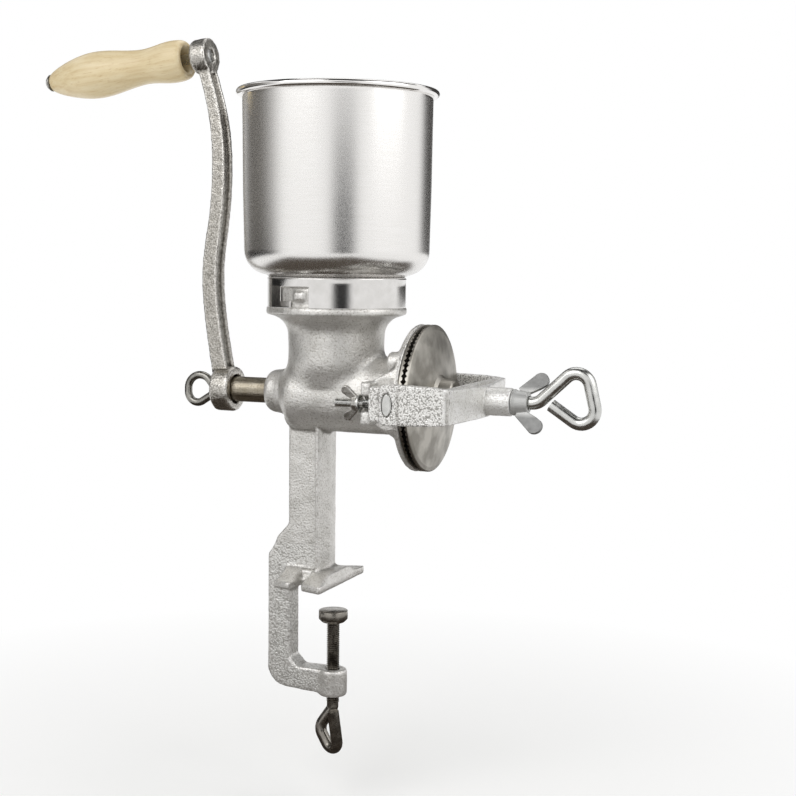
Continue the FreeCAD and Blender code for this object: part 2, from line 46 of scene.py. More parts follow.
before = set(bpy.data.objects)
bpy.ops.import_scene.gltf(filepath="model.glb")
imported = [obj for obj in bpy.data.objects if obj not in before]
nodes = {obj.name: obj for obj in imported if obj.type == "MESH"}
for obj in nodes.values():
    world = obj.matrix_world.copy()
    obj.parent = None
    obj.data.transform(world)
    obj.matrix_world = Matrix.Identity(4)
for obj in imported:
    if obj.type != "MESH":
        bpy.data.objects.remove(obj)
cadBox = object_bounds()

mm = 0.001
mergeGap = 0.002 * mm      # corners closer than this become one
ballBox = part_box("thrust_ball")
shaftHeight = (ballBox[0].z + ballBox[1].z) / 2      # the shaft axis, above the underside of the foot plate


def at(x, y, z):
    return Vector((x * mm, y * mm, shaftHeight + z * mm))      # millimetres from the shaft axis


# Handling of objects

def makeActive(piece):
    bpy.ops.object.select_all(action="DESELECT")
    piece.select_set(True)
    bpy.context.view_layer.objects.active = piece


def editMode(on, select="VERT"):
    bpy.ops.object.mode_set(mode="EDIT" if on else "OBJECT")
    if on:
        bpy.ops.mesh.select_mode(type=select)


def applyModifiers(piece):
    makeActive(piece)
    for modifier in list(piece.modifiers):
        bpy.ops.object.modifier_apply(modifier=modifier.name)


def applyPlace(piece):
    makeActive(piece)
    bpy.ops.object.transform_apply(location=True, rotation=True, scale=True)


def tidyMesh(piece, recalculate=True):
    makeActive(piece)
    editMode(True)
    bpy.ops.mesh.select_all(action="SELECT")
    bpy.ops.mesh.remove_doubles(threshold=mergeGap)
    if recalculate:
        bpy.ops.mesh.normals_make_consistent(inside=False)
    editMode(False)


# Material and body of a finished piece, and the imported node that it stands for
def finishPiece(piece, material, body, node, smooth):
    applyPlace(piece)
    bpy.ops.object.shade_smooth_by_angle(angle=math.radians(smooth))
    piece.data.materials.clear()
    piece.data.materials.append(material)
    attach(piece, body)
    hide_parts(node)


def joinPieces(pieces, name):
    makeActive(pieces[0])
    for piece in pieces[1:]:
        piece.select_set(True)
    bpy.ops.object.join()
    pieces[0].name = name
    return pieces[0]


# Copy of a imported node, merged so that modifiers can work on it
def copyOfNode(node, name):
    piece = bpy.data.objects.new(name, nodes[node].data.copy())
    bpy.context.scene.collection.objects.link(piece)
    tidyMesh(piece, recalculate=False)
    return piece


castSkin = {"pull": 0.5, "level": 0.75}      # pull of a smoothing round, and how much of a wave goes inwards


# Sand cast copy: sharp inner corners filled, edges rounded and faces slightly wavy.
# cast holds the voxel, the smoothing rounds, and the depth and size of the waves, in millimetres.
def castCopy(node, name, cast):
    piece = copyOfNode(node, name)
    remesh = piece.modifiers.new("remesh", "REMESH")
    remesh.mode = "VOXEL"
    remesh.voxel_size = cast["voxel"] * mm
    smooth = piece.modifiers.new("smooth", "SMOOTH")
    smooth.factor = castSkin["pull"]
    smooth.iterations = cast["rounds"]
    clouds = bpy.data.textures.new(name + "Clouds", "CLOUDS")
    clouds.noise_scale = cast["waveSize"] * mm
    displace = piece.modifiers.new("wave", "DISPLACE")
    displace.texture = clouds
    displace.texture_coords = "LOCAL"
    displace.strength = cast["wave"] * mm
    displace.mid_level = castSkin["level"]
    applyModifiers(piece)
    return piece


easing = {"flat": 0.5, "sharp": 35, "segments": 2}      # degrees: one face below flat, an edge above sharp


# Copy with its edges rounded over
def beveledCopy(node, name, width):
    piece = copyOfNode(node, name)
    makeActive(piece)
    editMode(True)
    bpy.ops.mesh.select_all(action="SELECT")
    bpy.ops.mesh.dissolve_limited(angle_limit=math.radians(easing["flat"]))
    editMode(False)
    bevel = piece.modifiers.new("bevel", "BEVEL")
    bevel.width = width * mm
    bevel.segments = easing["segments"]
    bevel.limit_method = "ANGLE"
    bevel.angle_limit = math.radians(easing["sharp"])
    bevel.use_clamp_overlap = True
    applyModifiers(piece)
    return piece


# Line of edges through the points, extruded from one corner and left in edit mode
def edgeLine(name, points):
    bpy.ops.object.select_all(action="DESELECT")
    bpy.ops.mesh.primitive_plane_add(size=mm, location=(0, 0, 0))
    piece = bpy.context.active_object
    piece.name = name
    editMode(True)
    bpy.ops.mesh.select_all(action="SELECT")
    bpy.ops.mesh.merge(type="CENTER")
    bpy.ops.transform.translate(value=points[0])
    for here, there in zip(points, points[1:]):
        bpy.ops.mesh.extrude_vertices_move(TRANSFORM_OT_translate={"value": there - here})
    return piece


# Profile of (along, radius) points spun round an axis
def turnedPiece(name, profile, start, along, outward, steps, closed=True):
    points = [start + along * (a * mm) + outward * (r * mm) for a, r in profile]
    piece = edgeLine(name, points + points[:1] if closed else points)
    bpy.ops.mesh.select_all(action="SELECT")
    bpy.ops.mesh.remove_doubles(threshold=mergeGap)
    bpy.ops.mesh.select_all(action="SELECT")
    bpy.ops.mesh.spin(steps=steps, angle=2 * math.pi, center=start, axis=along)
    editMode(False)
    tidyMesh(piece)
    return piece


def arc(centre, radius, first, last, steps):
    angles = [math.radians(first + (last - first) * i / steps) for i in range(steps + 1)]
    return [(centre[0] + radius * math.cos(a), centre[1] + radius * math.sin(a)) for a in angles]


rodMesh = {"sides": 28, "bendSteps": 14}


# Rod swept along straight runs and tangent bends
def bentRod(name, corners, bends, radius):
    first = (corners[1] - corners[0]).normalized()
    turn = first.to_track_quat("Z", "Y").to_euler()
    bpy.ops.object.select_all(action="DESELECT")
    bpy.ops.mesh.primitive_circle_add(vertices=rodMesh["sides"], radius=radius * mm, fill_type="NGON",
                                      location=corners[0], rotation=turn)
    piece = bpy.context.active_object
    piece.name = name
    bpy.ops.object.transform_apply(location=True, rotation=True, scale=True)
    editMode(True)
    bpy.ops.mesh.select_all(action="SELECT")
    here = corners[0]
    for i, bend in enumerate(bends):
        corner = corners[i + 1]
        back = (here - corner).normalized()
        ahead = (corners[i + 2] - corner).normalized()
        half = back.angle(ahead) / 2
        reach = bend * mm / math.tan(half)
        start = corner + back * reach
        end = corner + ahead * reach
        centre = corner + (back + ahead).normalized() * (bend * mm / math.sin(half))
        axis = (end - centre).cross(start - centre).normalized()
        bpy.ops.mesh.extrude_region_move(TRANSFORM_OT_translate={"value": start - here})
        bpy.ops.mesh.spin(steps=rodMesh["bendSteps"], angle=math.pi - 2 * half, center=centre, axis=axis)
        here = end
    bpy.ops.mesh.extrude_region_move(TRANSFORM_OT_translate={"value": corners[-1] - here})
    editMode(False)
    tidyMesh(piece)
    return piece


threadDepth = 0.61      # depth of a metric thread in pitches


# Screw thread along Z from low to high, cut off flat and capped at both ends
def threadedRod(name, low, high, major, pitch, steps):
    minor = major - threadDepth * pitch
    turns = math.ceil((high - low) / pitch) + 2      # one turn more than is kept at each end
    # one turn of the thread from root to root: share of the pitch, and radius
    ridge = [(0, minor), (0.06, minor), (0.44, major), (0.56, major), (0.94, minor), (1, minor)]
    points = [Vector((r * mm, 0, (low + (s - 1) * pitch) * mm)) for s, r in ridge]
    piece = edgeLine(name, points)
    editMode(False)
    screw = piece.modifiers.new("thread", "SCREW")
    screw.axis = "Z"
    screw.angle = 2 * math.pi
    screw.screw_offset = pitch * mm
    screw.iterations = turns
    screw.steps = steps
    screw.render_steps = steps
    applyModifiers(piece)
    tidyMesh(piece)
    editMode(True)
    for height, outer in ((low, False), (high, True)):
        bpy.ops.mesh.select_all(action="SELECT")
        bpy.ops.mesh.bisect(plane_co=(0, 0, height * mm), plane_no=(0, 0, 1), use_fill=True,
                            clear_inner=not outer, clear_outer=outer)
    editMode(False)
    tidyMesh(piece)
    return piece


# Lays a piece that was made along Z along another direction
def layAlong(piece, origin, direction):
    turn = direction.to_track_quat("Z", "Y").to_matrix().to_4x4()
    piece.matrix_world = Matrix.Translation(origin) @ turn
    applyPlace(piece)


# Material building

def linear(hexText):
    parts = [int(hexText[i:i + 2], 16) / 255 for i in (1, 3, 5)]
    return tuple(c / 12.92 if c <= 0.04045 else ((c + 0.055) / 1.055) ** 2.4 for c in parts) + (1.0,)


# Adds a node with its values, links and settings. stops are the places and colours of a ramp.
# The sockets of a Mix node go by number: 0 is the factor, 2 and 3 are numbers, 6 and 7 colours.
def addNode(tree, kind, values=None, links=None, stops=(), **settings):
    node = tree.nodes.new(kind)
    for name, value in settings.items():
        setattr(node, name, value)
    for name, value in (values or {}).items():
        node.inputs[name].default_value = value
    for name, socket in (links or {}).items():
        tree.links.new(socket, node.inputs[name])
    for index in (0, -1) if stops else ():
        node.color_ramp.elements[index].position = stops[index][0]
        node.color_ramp.elements[index].color = linear(stops[index][1])
    for position, colour in stops[1:-1]:
        node.color_ramp.elements.new(position).color = linear(colour)
    return node


def newMaterial(name, metallic, roughness):
    material = bpy.data.materials.new(name)
    material.use_nodes = True
    tree = material.node_tree
    tree.nodes.clear()
    shader = addNode(tree, "ShaderNodeBsdfPrincipled", {"Metallic": metallic, "Roughness": roughness})
    addNode(tree, "ShaderNodeOutputMaterial", links={"Surface": shader.outputs[0]})
    place = addNode(tree, "ShaderNodeTexCoord").outputs["Object"]
    return material, tree, shader, place


def perMetre(millimetres):
    return 1000.0 / millimetres      # texture scale that repeats about once in this many millimetres


# Iron sand casting washed with tin: silver grey, with painted shade in the creases and a painted highlight
# on the edges.
# coarseBoxes are where the mould's grain was left standing: middle and half size in metres.
def sandCastIron(name, look, coarseBoxes):
    material, tree, shader, place = newMaterial(name, look["metallic"], look["roughness"])
    fade = look["fade"] * mm
    coarse = None
    for centre, half in coarseBoxes:
        away = addNode(tree, "ShaderNodeVectorMath", {1: centre}, {0: place}, operation="SUBTRACT")
        size = addNode(tree, "ShaderNodeVectorMath", None, {0: away.outputs[0]}, operation="ABSOLUTE")
        beyond = addNode(tree, "ShaderNodeVectorMath", {1: half}, {0: size.outputs[0]}, operation="SUBTRACT")
        split = addNode(tree, "ShaderNodeSeparateXYZ", None, {"Vector": beyond.outputs[0]})
        most = addNode(tree, "ShaderNodeMath", None, {0: split.outputs["X"], 1: split.outputs["Y"]},
                       operation="MAXIMUM")
        most = addNode(tree, "ShaderNodeMath", None, {0: most.outputs[0], 1: split.outputs["Z"]},
                       operation="MAXIMUM")
        inside = addNode(tree, "ShaderNodeMapRange", {"From Min": fade, "From Max": -fade},
                         {"Value": most.outputs[0]}).outputs[0]
        if coarse is None:
            coarse = inside
        else:
            coarse = addNode(tree, "ShaderNodeMath", None, {0: coarse, 1: inside},
                             operation="MAXIMUM").outputs[0]
    pebbles = addNode(tree, "ShaderNodeTexVoronoi", {"Scale": perMetre(look["pebble"])}, {"Vector": place},
                      feature="SMOOTH_F1")
    fine = addNode(tree, "ShaderNodeTexNoise", {"Scale": perMetre(look["grain"]), "Detail": 3.0,
                                                "Roughness": 0.6}, {"Vector": place})
    blotch = addNode(tree, "ShaderNodeTexNoise", {"Scale": perMetre(look["blotch"]), "Detail": 3.0},
                     {"Vector": place})
    pebbleColour = addNode(tree, "ShaderNodeValToRGB", None, {"Fac": pebbles.outputs["Distance"]},
                           look["pebbleStops"]).outputs["Color"]
    smoothColour = addNode(tree, "ShaderNodeValToRGB", None, {"Fac": blotch.outputs["Fac"]},
                           look["smoothStops"]).outputs["Color"]
    speck = addNode(tree, "ShaderNodeValToRGB", None, {"Fac": fine.outputs["Fac"]},
                    look["speckStops"]).outputs["Color"]
    skin = addNode(tree, "ShaderNodeMix", {0: 1.0}, {6: smoothColour, 7: speck}, data_type="RGBA",
                   blend_type="MULTIPLY")
    chosen = addNode(tree, "ShaderNodeMix", None, {0: coarse, 6: skin.outputs[2], 7: pebbleColour},
                     data_type="RGBA")
    curve = addNode(tree, "ShaderNodeNewGeometry")
    # Painted light: pointiness darkens the creases as painted shade and makes the edges paler as a painted
    # highlight
    creaseShadeEdgeHighlight = addNode(tree, "ShaderNodeValToRGB", None, {"Fac": curve.outputs["Pointiness"]},
                   look["creaseShadeEdgeHighlightStops"]).outputs["Color"]
    shadedAndHighlighted = addNode(tree, "ShaderNodeMix", {0: 1.0}, {6: chosen.outputs[2], 7: creaseShadeEdgeHighlight}, data_type="RGBA",
                   blend_type="MULTIPLY")
    tree.links.new(shadedAndHighlighted.outputs[2], shader.inputs["Base Color"])
    fineBump = addNode(tree, "ShaderNodeBump", {"Strength": 1.0, "Distance": look["grainDepth"] * mm},
                       {"Height": fine.outputs["Fac"]})
    share = addNode(tree, "ShaderNodeMapRange", {"To Min": look["pebbleShare"]}, {"Value": coarse})
    depth = addNode(tree, "ShaderNodeMath", None, {0: pebbles.outputs["Distance"], 1: share.outputs[0]},
                    operation="MULTIPLY")
    pebbleBump = addNode(tree, "ShaderNodeBump", {"Strength": 1.0, "Distance": look["pebbleDepth"] * mm},
                         {"Height": depth.outputs[0], "Normal": fineBump.outputs[0]}, invert=True)
    tree.links.new(pebbleBump.outputs[0], shader.inputs["Normal"])
    return material


bodyLook = {
    "metallic": 0.75, "roughness": 0.38, "fade": 0.5,
    "pebble": 1.35, "pebbleDepth": 0.3,      # the mould's grain, in full and in colour inside the boxes
    "pebbleShare": 0.7,                      # how much of its depth is left outside them
    "grain": 1.4, "grainDepth": 0.25,        # fine grain everywhere, drawn coarse enough to show
    "blotch": 14.0,
    "pebbleStops": [(0.30, "#F2F1EE"), (0.45, "#E6E4E1"), (0.62, "#CBC9C5")],
    "smoothStops": [(0.35, "#DAD8D4"), (0.65, "#ECEAE7")],
    "speckStops": [(0.34, "#D6D3CF"), (0.48, "#FFFFFF")],
    # painted shade in the creases, plain face, painted highlight on the edges
    "creaseShadeEdgeHighlightStops": [(0.44, "#8A8782"), (0.49, "#F4F4F3"), (0.56, "#FFFFFF")],      # crease, face and edge
}
bodyBoxes = [((-0.0353, 0, -0.040), (0.025, 0.0093, 0.070)),        # lower web and C frame
             ((0.0495, -0.060, 0.145), (0.0045, 0.015, 0.017)),     # near lug
             ((0.0495, 0.060, 0.145), (0.0045, 0.015, 0.017))]      # far lug
bodyIron = sandCastIron("tinWashedCastIron", bodyLook, bodyBoxes)

# The yoke is the body's tin washed iron painted paler: painted light, standing for the light its faces catch
yokeLitLook = dict(bodyLook, metallic=0.6, pebble=1.0, pebbleDepth=0.4,
                smoothStops=[(0.35, "#F0EFEC"), (0.65, "#FCFBFA")],
                pebbleStops=[(0.30, "#FFFEFC"), (0.45, "#ECEAE7"), (0.60, "#A8A6A2")])
yokeLitIron = sandCastIron("castYokePaintedLit", yokeLitLook, [((0.080, 0, 0.145), (0.0275, 0.08, 0.05))])

# On the crank the painted shade in the creases is darker and the painted edge highlight is narrower
crankLook = dict(bodyLook, metallic=1.0, roughness=0.31, pebble=1.05, pebbleDepth=0.26, grainDepth=0.18,
                 smoothStops=[(0.35, "#98948D"), (0.65, "#B1ADA6")],
                 pebbleStops=[(0.30, "#E8E5E0"), (0.45, "#D6D3CD"), (0.62, "#B4B1AB")],
                 creaseShadeEdgeHighlightStops=[(0.46, "#4E4B46"), (0.495, "#C2C0BC"), (0.52, "#FFFFFF")])
crankIron = sandCastIron("greyCastCrank", crankLook, [((-0.1, 0, 0.26), (0.05, 0.05, 0.20))])

shaftLook = dict(crankLook, smoothStops=[(0.35, "#B0A794"), (0.65, "#CEC6B6")], pebbleShare=0.5)
shaftIron = sandCastIron("shaftCastIron", shaftLook, [((-0.1, 0, 0.145), (0.003, 0.02, 0.02))])
print("cast iron finishes made")


turnedLook = {"metallic": 1.0, "roughness": 0.38, "patch": 16.0, "pit": 0.7,
              "ringPitch": 0.9,      # real feed marks are about 0.3 mm, drawn wider so that they show
              "tones": [(0.38, "#8C8880"), (0.62, "#B8B4AC")]}


# Iron plate turned on a lathe: dull grey with small pits, and fine rings round the shaft
def turnedIron(look):
    material, tree, shader, place = newMaterial("turnedGreyIron", look["metallic"], look["roughness"])
    split = addNode(tree, "ShaderNodeSeparateXYZ", links={"Vector": place})
    drop = addNode(tree, "ShaderNodeMath", {1: shaftHeight}, {0: split.outputs["Z"]}, operation="SUBTRACT")
    flat = addNode(tree, "ShaderNodeCombineXYZ", None, {"X": split.outputs["Y"], "Y": drop.outputs[0]})
    radius = addNode(tree, "ShaderNodeVectorMath", None, {0: flat.outputs[0]}, operation="LENGTH")
    wave = addNode(tree, "ShaderNodeMath", {1: 2 * math.pi / (look["ringPitch"] * mm)},
                   {0: radius.outputs["Value"]}, operation="MULTIPLY")
    rings = addNode(tree, "ShaderNodeMath", None, {0: wave.outputs[0]}, operation="SINE")
    patches = addNode(tree, "ShaderNodeTexNoise", {"Scale": perMetre(look["patch"]), "Detail": 4.0},
                      {"Vector": place})
    colour = addNode(tree, "ShaderNodeValToRGB", None, {"Fac": patches.outputs["Fac"]}, look["tones"])
    tree.links.new(colour.outputs["Color"], shader.inputs["Base Color"])
    ringBump = addNode(tree, "ShaderNodeBump", {"Strength": 0.25, "Distance": 0.02 * mm},
                       {"Height": rings.outputs[0]})
    pits = addNode(tree, "ShaderNodeTexNoise", {"Scale": perMetre(look["pit"]), "Detail": 3.0},
                   {"Vector": place})
    bump = addNode(tree, "ShaderNodeBump", {"Strength": 1.0, "Distance": 0.04 * mm},
                   {"Height": pits.outputs["Fac"], "Normal": ringBump.outputs[0]})
    tree.links.new(bump.outputs[0], shader.inputs["Normal"])
    return material


zincLook = {"metallic": 1.0, "roughness": 0.24, "mottle": 6.0, "peel": 1.2,      # sizes in millimetres
            "gloss": {"From Min": 0.3, "From Max": 0.7, "To Min": 0.17, "To Max": 0.34}}


# Steel rod and sheet with zinc plate, bright, dulled, or oiled and painted darker as shade: smooth, with a
# soft mottle and a fine peel
def zincPlate(name, darkTone, paleTone):
    material, tree, shader, place = newMaterial(name, zincLook["metallic"], zincLook["roughness"])
    mottle = addNode(tree, "ShaderNodeTexNoise", {"Scale": perMetre(zincLook["mottle"]), "Detail": 4.0},
                     {"Vector": place})
    colour = addNode(tree, "ShaderNodeValToRGB", None, {"Fac": mottle.outputs["Fac"]},
                     [(0.3, darkTone), (0.7, paleTone)])
    tree.links.new(colour.outputs["Color"], shader.inputs["Base Color"])
    gloss = addNode(tree, "ShaderNodeMapRange", zincLook["gloss"], {"Value": mottle.outputs["Fac"]})
    tree.links.new(gloss.outputs[0], shader.inputs["Roughness"])
    fine = addNode(tree, "ShaderNodeTexNoise", {"Scale": perMetre(zincLook["peel"]), "Detail": 3.0},
                   {"Vector": place})
    bump = addNode(tree, "ShaderNodeBump", {"Strength": 0.6, "Distance": 0.02 * mm},
                   {"Height": fine.outputs["Fac"]})
    tree.links.new(bump.outputs[0], shader.inputs["Normal"])
    return material


dieCastLook = {"metallic": 0.7, "roughness": 0.5, "mottle": 5.0, "grain": 0.8,
               "wing": [(0.3, "#858584"), (0.7, "#9C9C9B")],
               "hub": "#C6C6C4", "hubRadius": 9, "fadeRadius": 12}


# Die cast zinc left as it came out of the die: even matte grey, with its hub paler than its wings
def dieCastZinc(look):
    material, tree, shader, place = newMaterial("matteDieCastZinc", look["metallic"], look["roughness"])
    mottle = addNode(tree, "ShaderNodeTexNoise", {"Scale": perMetre(look["mottle"]), "Detail": 4.0},
                     {"Vector": place})
    wing = addNode(tree, "ShaderNodeValToRGB", None, {"Fac": mottle.outputs["Fac"]}, look["wing"])
    middle = addNode(tree, "ShaderNodeVectorMath", {1: at(0, 0, 0)}, {0: place}, operation="SUBTRACT")
    across = addNode(tree, "ShaderNodeVectorMath", {1: (0, 1, 1)}, {0: middle.outputs[0]},
                     operation="MULTIPLY")
    radius = addNode(tree, "ShaderNodeVectorMath", None, {0: across.outputs[0]}, operation="LENGTH")
    hubShare = addNode(tree, "ShaderNodeMapRange",
                     {"From Min": look["fadeRadius"] * mm, "From Max": look["hubRadius"] * mm},
                     {"Value": radius.outputs["Value"]})
    colour = addNode(tree, "ShaderNodeMix", {7: linear(look["hub"])},
                     {0: hubShare.outputs[0], 6: wing.outputs["Color"]}, data_type="RGBA")
    tree.links.new(colour.outputs[2], shader.inputs["Base Color"])
    fine = addNode(tree, "ShaderNodeTexNoise", {"Scale": perMetre(look["grain"]), "Detail": 2.0},
                   {"Vector": place})
    bump = addNode(tree, "ShaderNodeBump", {"Strength": 0.8, "Distance": 0.05 * mm},
                   {"Height": fine.outputs["Fac"]})
    tree.links.new(bump.outputs[0], shader.inputs["Normal"])
    return material


satinLook = {"metallic": 1.0, "roughness": 0.27, "streakLong": 22.0, "streakWide": 0.6, "grit": 0.9,
             "tones": [(0.3, "#EAE8E5"), (0.7, "#EFEDEB")],
             "gloss": {"From Min": 0.3, "From Max": 0.7, "To Min": 0.23, "To Max": 0.30},
             "rimLow": 216, "rimHigh": 218, "rimRoughness": 0.1}      # the rolled rim is the brightest part


# Spun stainless sheet rubbed to a satin with grit that ran round the bowl
def satinStainless(look):
    material, tree, shader, place = newMaterial("satinStainless", look["metallic"], look["roughness"])
    streakLong = perMetre(look["streakLong"])
    streak = addNode(tree, "ShaderNodeMapping",
                     {"Scale": (streakLong, streakLong, perMetre(look["streakWide"]))}, {"Vector": place})
    lines = addNode(tree, "ShaderNodeTexNoise", {"Scale": 1.0, "Detail": 3.0}, {"Vector": streak.outputs[0]})
    grit = addNode(tree, "ShaderNodeTexNoise", {"Scale": perMetre(look["grit"]), "Detail": 3.0},
                   {"Vector": place})
    colour = addNode(tree, "ShaderNodeValToRGB", None, {"Fac": lines.outputs["Fac"]}, look["tones"])
    tree.links.new(colour.outputs["Color"], shader.inputs["Base Color"])
    gloss = addNode(tree, "ShaderNodeMapRange", look["gloss"], {"Value": grit.outputs["Fac"]})
    height = addNode(tree, "ShaderNodeSeparateXYZ", links={"Vector": place}).outputs["Z"]
    rolled = addNode(tree, "ShaderNodeMapRange",
                     {"From Min": at(0, 0, look["rimLow"]).z, "From Max": at(0, 0, look["rimHigh"]).z},
                     {"Value": height})
    finish = addNode(tree, "ShaderNodeMix", {3: look["rimRoughness"]},
                     {0: rolled.outputs[0], 2: gloss.outputs[0]})
    tree.links.new(finish.outputs[0], shader.inputs["Roughness"])
    lineBump = addNode(tree, "ShaderNodeBump", {"Strength": 0.15, "Distance": 0.01 * mm},
                       {"Height": lines.outputs["Fac"]})
    bump = addNode(tree, "ShaderNodeBump", {"Strength": 0.4, "Distance": 0.02 * mm},
                   {"Height": grit.outputs["Fac"], "Normal": lineBump.outputs[0]})
    tree.links.new(bump.outputs[0], shader.inputs["Normal"])
    return material


polishedLook = {"metallic": 1.0, "ripple": 9.0, "tones": [(0.3, "#D6D4D1"), (0.7, "#E2E0DE")]}


# Polished stainless: a mirror with a very slight waviness from the press
def polishedStainless(name, roughness):
    material, tree, shader, place = newMaterial(name, polishedLook["metallic"], roughness)
    ripple = addNode(tree, "ShaderNodeTexNoise", {"Scale": perMetre(polishedLook["ripple"]), "Detail": 2.0},
                     {"Vector": place})
    colour = addNode(tree, "ShaderNodeValToRGB", None, {"Fac": ripple.outputs["Fac"]}, polishedLook["tones"])
    tree.links.new(colour.outputs["Color"], shader.inputs["Base Color"])
    bump = addNode(tree, "ShaderNodeBump", {"Strength": 0.35, "Distance": 0.12 * mm},
                   {"Height": ripple.outputs["Fac"]})
    tree.links.new(bump.outputs[0], shader.inputs["Normal"])
    return material


woodLook = {"roughness": 0.38, "coat": 0.35, "coatRoughness": 0.18,
            "grainLong": 90.0, "grainWide": 3.2, "fleckLong": 7.0, "fleckWide": 0.7, "fleckShare": 0.35,
            "wood": [(0.32, "#D6BF93"), (0.5, "#E1CEA4"), (0.7, "#E8D8B3")],
            "fleck": [(0.30, "#D0B287"), (0.40, "#FFFFFF")]}


# Pale turned hardwood under clear varnish: grain lines run the length of the grip
def varnishedWood(direction, look):
    material, tree, shader, place = newMaterial("varnishedBeech", metallic=0.0, roughness=look["roughness"])
    turn = direction.to_track_quat("X", "Z").inverted().to_euler()
    grainWide = perMetre(look["grainWide"])
    fleckWide = perMetre(look["fleckWide"])
    aligned = addNode(tree, "ShaderNodeMapping", {"Rotation": turn}, {"Vector": place}, vector_type="POINT")
    stretched = addNode(tree, "ShaderNodeMapping",
                        {"Scale": (perMetre(look["grainLong"]), grainWide, grainWide)},
                        {"Vector": aligned.outputs[0]})
    grain = addNode(tree, "ShaderNodeTexNoise", {"Scale": 1.0, "Detail": 5.0, "Roughness": 0.6},
                    {"Vector": stretched.outputs[0]})
    flecks = addNode(tree, "ShaderNodeMapping",
                     {"Scale": (perMetre(look["fleckLong"]), fleckWide, fleckWide)},
                     {"Vector": aligned.outputs[0]})
    fleck = addNode(tree, "ShaderNodeTexNoise", {"Scale": 1.0, "Detail": 2.0}, {"Vector": flecks.outputs[0]})
    wood = addNode(tree, "ShaderNodeValToRGB", None, {"Fac": grain.outputs["Fac"]}, look["wood"])
    dark = addNode(tree, "ShaderNodeValToRGB", None, {"Fac": fleck.outputs["Fac"]}, look["fleck"])
    mixed = addNode(tree, "ShaderNodeMix", {0: look["fleckShare"]},
                    {6: wood.outputs["Color"], 7: dark.outputs["Color"]}, data_type="RGBA",
                    blend_type="MULTIPLY")
    tree.links.new(mixed.outputs[2], shader.inputs["Base Color"])
    shader.inputs["Coat Weight"].default_value = look["coat"]
    shader.inputs["Coat Roughness"].default_value = look["coatRoughness"]
    bump = addNode(tree, "ShaderNodeBump", {"Strength": 0.4, "Distance": 0.05 * mm},
                   {"Height": grain.outputs["Fac"]})
    tree.links.new(bump.outputs[0], shader.inputs["Normal"])
    return material


# Axis of the grip: it starts at the top of the crank and dips a little as it runs outwards
handleTilt = math.radians(6.3)
handleStart = at(-105.3, 0, 253.0)
handleAlong = Vector((-math.cos(handleTilt), 0, -math.sin(handleTilt)))
handleUp = Vector((-math.sin(handleTilt), 0, math.cos(handleTilt)))

plateIron = turnedIron(turnedLook)
zincSteel = zincPlate("brightZincPlate", "#C2C2BF", "#DCDCD9")
dullZinc = zincPlate("dulledZincPlate", "#82807B", "#A8A6A0")
wornZinc = zincPlate("wornZincPlate", "#B0AEA9", "#D6D4CF")
# Clamp screw and pad: dark oiled steel, painted darker still as shade from the underside of the table they
# clamp to
oiledSteelInShade = zincPlate("oiledSteelPaintedShade", "#77736D", "#A39E96")
dieZinc = dieCastZinc(dieCastLook)
satinSteel = satinStainless(satinLook)
mirrorSteel = polishedStainless("mirrorStainless", roughness=0.15)
ballSteel = polishedStainless("polishedBearingSteel", roughness=0.05)
paleWood = varnishedWood(handleAlong, woodLook)
print("other finishes made")


# Body casting, yoke and crank arm

castings = {
    "bodyCasting": {"node": "body_casting", "voxel": 1.15, "rounds": 7, "wave": 0.5, "waveSize": 9.0,
                    "body": "root", "slot": "tinned_cast_iron", "material": bodyIron},
    "yokeCasting": {"node": "yoke", "voxel": 0.75, "rounds": 4, "wave": 0.3, "waveSize": 6.0,
                    "body": "root", "slot": "tinned_cast_iron", "material": yokeLitIron},
    "crankCasting": {"node": "crank_arm", "voxel": 0.7, "rounds": 12, "wave": 0.5, "waveSize": 5.0,
                     "body": "shaft", "slot": "tinned_crank_iron", "material": crankIron},
}
webBack = {"low": -122, "high": -14, "edge": -24, "half": 12, "out": 4.5, "ease": 14}


# Brings the back edge of the web out, easing off at both ends
def widenWeb(piece):
    for vertex in piece.data.vertices:
        x, y, z = (vertex.co - at(0, 0, 0)) / mm
        inHeight = webBack["low"] < z < webBack["high"]
        if inHeight and x < webBack["edge"] and abs(y) < webBack["half"]:
            share = min(1.0, min(z - webBack["low"], webBack["high"] - z) / webBack["ease"])
            vertex.co.x -= webBack["out"] * mm * share * share * (3 - 2 * share)


throatBlend = {"low": 6, "high": 40, "inner": 26.5, "outer": 48, "reach": 40, "rounds": 90}


# Fillet where the throat runs into the barrel, as wide as the mould's pattern had it
def blendThroat(piece):
    makeActive(piece)
    editMode(True)
    bpy.ops.mesh.select_all(action="DESELECT")
    editMode(False)
    for vertex in piece.data.vertices:
        x, y, z = (vertex.co - at(0, 0, 0)) / mm
        near = throatBlend["low"] < z < throatBlend["high"] and abs(x) < throatBlend["reach"]
        vertex.select = near and throatBlend["inner"] < math.hypot(x, y) < throatBlend["outer"]
    editMode(True)
    bpy.ops.mesh.vertices_smooth(factor=castSkin["pull"], repeat=throatBlend["rounds"])
    editMode(False)


for name, plan in castings.items():
    piece = castCopy(plan["node"], name, plan)
    if name == "bodyCasting":
        widenWeb(piece)
        blendThroat(piece)
    finishPiece(piece, plan["material"], plan["body"], plan["node"], smooth=60)
    print(name, len(piece.data.polygons), "faces")


# Wing nuts, cast smooth

